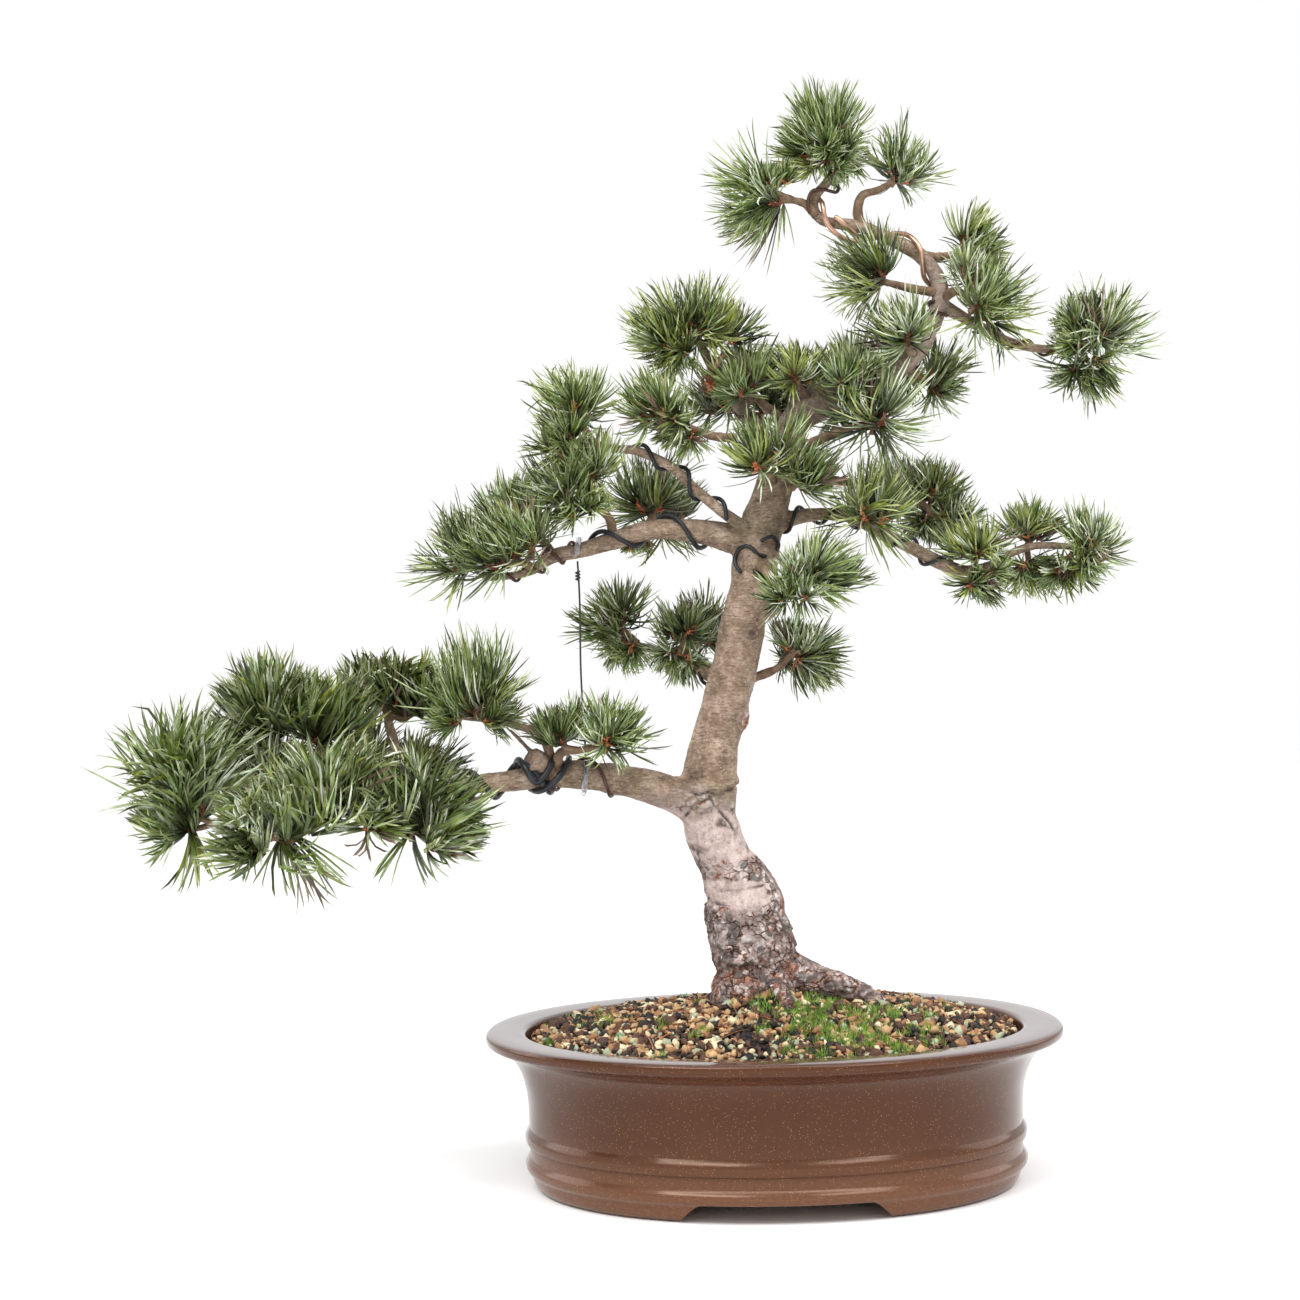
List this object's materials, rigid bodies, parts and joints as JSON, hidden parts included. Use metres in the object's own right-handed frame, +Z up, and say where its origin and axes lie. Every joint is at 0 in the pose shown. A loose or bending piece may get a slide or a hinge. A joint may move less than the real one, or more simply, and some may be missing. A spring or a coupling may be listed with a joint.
{
  "type": "japanese white pine bonsai in an oval pot",
  "caption": "Small trained pine with a leaning trunk, low side bough and open tufts of needles, standing in an oval stoneware pot filled with grit.",
  "frame": {"origin": "middle of the underside of the plant's bounding box, on the plane that the feet stand on", "axes": "+Z up, +X to the right of the front view along the pot's long axis, +Y away from the front view"},
  "size_m": [0.7162, 0.32, 0.762],
  "materials": {
    "pot": "unglazed brown stoneware",
    "soil": "loose pale grit with some moss",
    "bark": "grey-brown bark, flaky at the foot",
    "needles": "dark green needles with pale faces",
    "black_wire": "black anodised",
    "copper_wire": "brown anodised"
  },
  "bodies": {
    "root": {"pot": "pot", "soil": "soil", "trunk": "bark", "leader": "bark", "bough_low": "bark", "bough_low_rise": "bark", "bough_left": "bark", "bough_left_high": "bark", "bough_right": "bark", "bough_right_high": "bark", "bough_crown": "bark", "bough_back": "bark", "far_left": "needles", "left_crest": "needles", "left_front": "needles", "left_fan": "needles", "left_middle": "needles", "left_near": "needles", "left_top": "needles", "left_inner": "needles", "low_rise": "needles", "low_tuft": "needles", "left_tip": "needles", "left_low_pair": "needles", "left_shoulder": "needles", "left_mid": "needles", "left_back": "needles", "left_high": "needles", "back_far": "needles", "back_near": "needles", "front_right": "needles", "low_right": "needles", "right_near": "needles", "right_back": "needles", "right_mid": "needles", "right_pair": "needles", "right_tip": "needles", "centre_front": "needles", "centre_low": "needles", "centre_right": "needles", "centre_top": "needles", "crown_left": "needles", "centre_left": "needles", "centre_back": "needles", "centre_right_back": "needles", "apex": "needles", "apex_left": "needles", "apex_right": "needles", "high_right": "needles", "high_left": "needles", "right_shoulder": "needles", "far_right": "needles", "shoulder_left": "needles", "shoulder_back": "needles", "wire_low": "black_wire", "wire_left": "black_wire", "wire_left_high": "black_wire", "wire_top": "copper_wire", "guy_line": "black_wire"}
  },
  "joints": []
}
